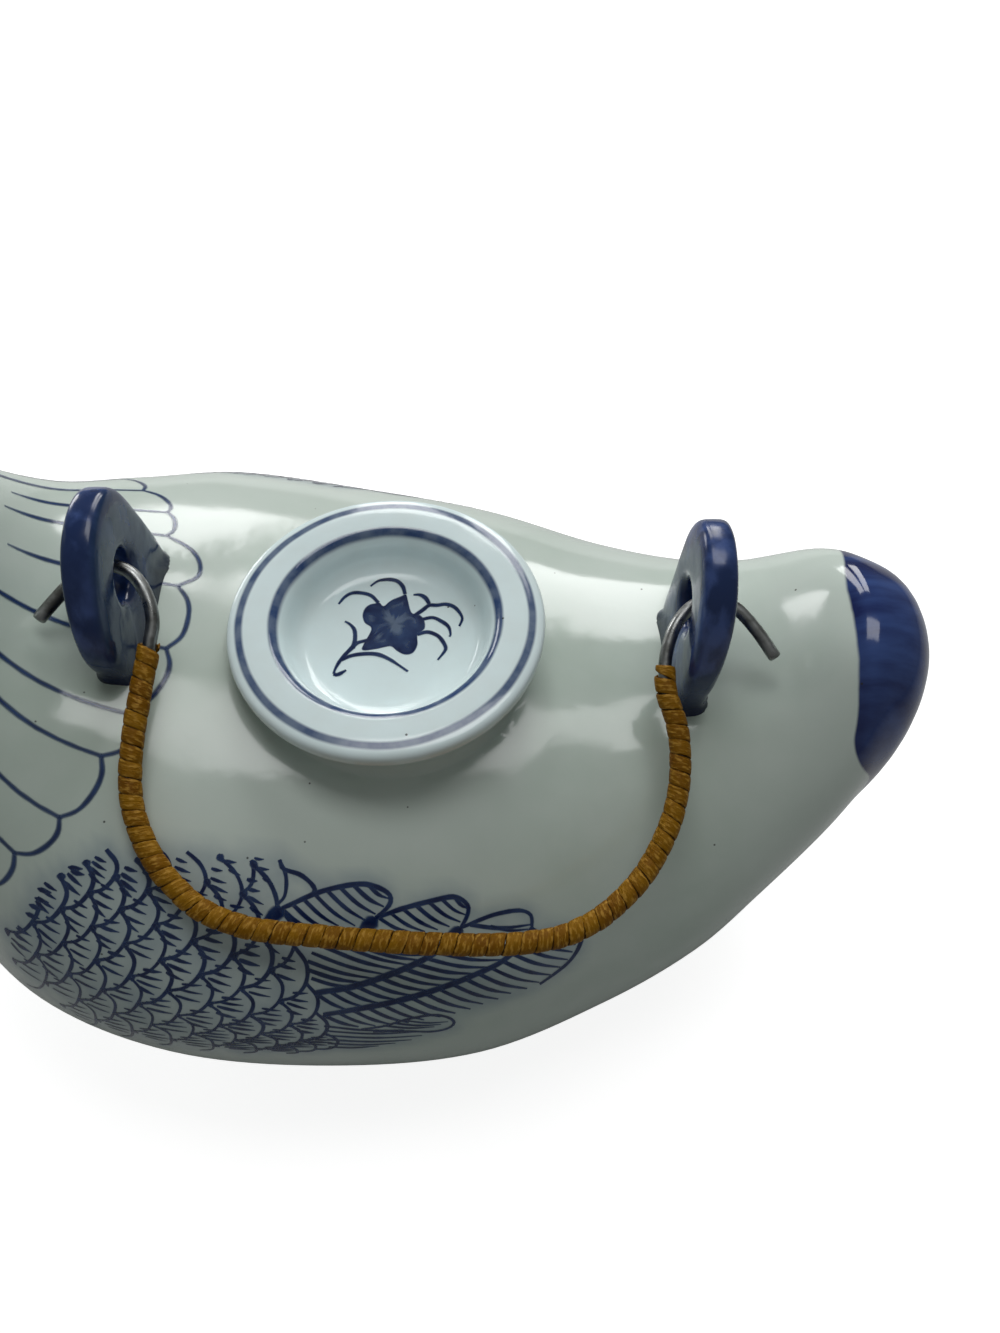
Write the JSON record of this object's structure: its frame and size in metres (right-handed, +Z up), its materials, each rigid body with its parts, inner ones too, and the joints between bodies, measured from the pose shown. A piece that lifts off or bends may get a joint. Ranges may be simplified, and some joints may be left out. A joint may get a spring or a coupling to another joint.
{
  "type": "lidded pot",
  "caption": "Hen-shaped lidded porcelain pot: hollow bird body pouring from the beak, round sunken lid, two pierced lugs and a folding wire bail wound with cane.",
  "frame": {"origin": "middle of the flat foot, on the ground straight under the middle of the lid", "axes": "+Z up, +X from the head to the tail, +Y to the bird's right"},
  "size_m": [0.2481, 0.1484, 0.1814],
  "materials": {
    "porcelain": "glossy grey-green white glaze over porcelain",
    "lid_porcelain": "glossy white glaze over porcelain",
    "cobalt": "glossy glaze over a cobalt blue wash",
    "wire": "dull drawn steel",
    "cane": "varnished split cane"
  },
  "bodies": {
    "pot": {"body": "porcelain", "front_lug": "cobalt", "rear_lug": "cobalt", "comb": "cobalt", "left_wattle": "cobalt", "right_wattle": "cobalt"},
    "lid": {"lid": "lid_porcelain"},
    "bail": {"bail_wire": "wire", "cane_wrap": "cane"}
  },
  "joints": [
    {"name": "lid_lift", "type": "slide", "parent": "pot", "child": "lid", "axis": [0, 0, 1], "range_m": [0, 0.06]},
    {"name": "bail_swing", "type": "hinge", "parent": "pot", "child": "bail", "pos_m": [0.00565, 0, 0.1085], "axis": [-0.9965, 0, 0.0835], "range_deg": [0, 229]}
  ]
}
